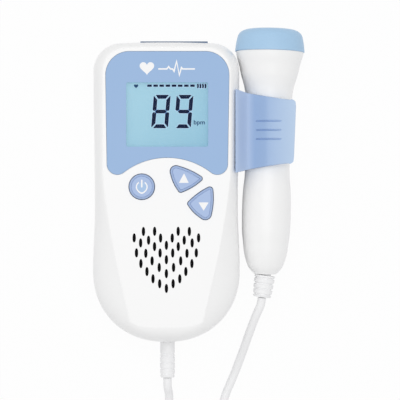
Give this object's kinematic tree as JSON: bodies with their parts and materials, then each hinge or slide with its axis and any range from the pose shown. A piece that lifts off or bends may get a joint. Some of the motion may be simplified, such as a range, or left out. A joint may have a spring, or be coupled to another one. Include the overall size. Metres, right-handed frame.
{
  "type": "fetal doppler monitor",
  "caption": "Pocket ultrasound heartbeat monitor: a hand unit with a display, keys and speaker grille, and a corded probe held in a clip on its side.",
  "frame": {"origin": "on the surface that the unit lies on, under the middle of the unit and its probe; the lead is not counted", "axes": "+Y to the unit's top end, +Z out of its face, +X to the side that the probe is on"},
  "size_m": [0.095, 0.2386, 0.0332],
  "materials": {
    "white_shell": "smooth white plastic",
    "blue_plate": "smooth light blue plastic",
    "clip_blue": "smooth grey blue plastic",
    "key_blue": "smooth pale blue plastic",
    "cap_blue": "soft light blue plastic",
    "clear_window": "clear plastic window",
    "display_blue": "lit display glass",
    "light_guide": "clear light guide",
    "frame_plastic": "off-white plastic",
    "board_green": "green circuit board",
    "chip_black": "black plastic",
    "bright_metal": "plated steel",
    "battery_wrap": "printed sleeve, plain",
    "cone_paper": "black paper",
    "cord_white": "white flexible plastic",
    "strip_rubber": "soft contact strip",
    "ceramic": "pale ceramic"
  },
  "bodies": {
    "unit": {"front_shell": "white_shell", "rear_shell": "white_shell", "faceplate": "blue_plate", "probe_clip": "clip_blue", "clip_screw_lower": "bright_metal", "clip_screw_upper": "bright_metal", "case_screw_1": "bright_metal", "case_screw_2": "bright_metal", "case_screw_3": "bright_metal", "case_screw_4": "bright_metal", "display_window": "clear_window", "lcd_glass": "display_blue", "lcd_backlight": "light_guide", "lcd_frame": "frame_plastic", "zebra_strip": "strip_rubber", "power_switch": "bright_metal", "up_switch": "bright_metal", "down_switch": "bright_metal", "main_board": "board_green", "board_screw_1": "bright_metal", "board_screw_2": "bright_metal", "board_screw_3": "bright_metal", "control_chip": "chip_black", "audio_chip": "chip_black", "quartz_crystal": "bright_metal", "capacitor": "chip_black", "headphone_jack": "chip_black", "charging_socket": "bright_metal", "socket_board": "board_green", "probe_socket": "chip_black", "speaker_basket": "bright_metal", "speaker_cone": "cone_paper", "speaker_magnet": "bright_metal", "battery_left": "battery_wrap", "battery_right": "battery_wrap", "contact_plus": "bright_metal", "contact_minus": "bright_metal", "contact_bridge": "bright_metal", "probe_cord": "cord_white", "cord_coil": "cord_white", "cord_tie": "cord_white", "plug_cord": "cord_white"},
    "power_key": {"power_key": "key_blue"},
    "up_key": {"up_key": "key_blue"},
    "down_key": {"down_key": "key_blue"},
    "battery_door": {"battery_door": "white_shell"},
    "port_cover": {"port_cover": "cap_blue"},
    "probe": {"probe_cap": "cap_blue", "probe_shell_front": "white_shell", "probe_shell_rear": "white_shell", "transducer_holder": "frame_plastic", "transducer_left": "ceramic", "transducer_right": "ceramic", "probe_board": "board_green", "probe_strain_relief": "cord_white"},
    "probe_plug": {"plug_boot": "cord_white", "plug_pin": "bright_metal"}
  },
  "joints": [
    {"name": "power_key_press", "type": "slide", "parent": "unit", "child": "power_key", "axis": [0, 0, -1], "range_m": [0, 0.0005], "stiffness_N_per_m": 1500},
    {"name": "up_key_press", "type": "slide", "parent": "unit", "child": "up_key", "axis": [0, 0, -1], "range_m": [0, 0.0005], "stiffness_N_per_m": 1500},
    {"name": "down_key_press", "type": "slide", "parent": "unit", "child": "down_key", "axis": [0, 0, -1], "range_m": [0, 0.0005], "stiffness_N_per_m": 1500},
    {"name": "battery_door_hinge", "type": "hinge", "parent": "unit", "child": "battery_door", "pos_m": [-0.01464, 0.03604, 0.00015], "axis": [1, 0, 0], "range_deg": [0, 60]},
    {"name": "port_cover_hinge", "type": "hinge", "parent": "unit", "child": "port_cover", "pos_m": [-0.01124, 0.06484, 0.0152], "axis": [-1, 0, 0], "range_deg": [0, 110]},
    {"name": "probe_pull", "type": "slide", "parent": "unit", "child": "probe", "axis": [1, 0, 0], "range_m": [0, 0.045], "deforming": ["probe_cord"]},
    {"name": "plug_pull", "type": "slide", "parent": "unit", "child": "probe_plug", "axis": [0, -1, 0], "range_m": [0, 0.015], "deforming": ["plug_cord"]}
  ]
}
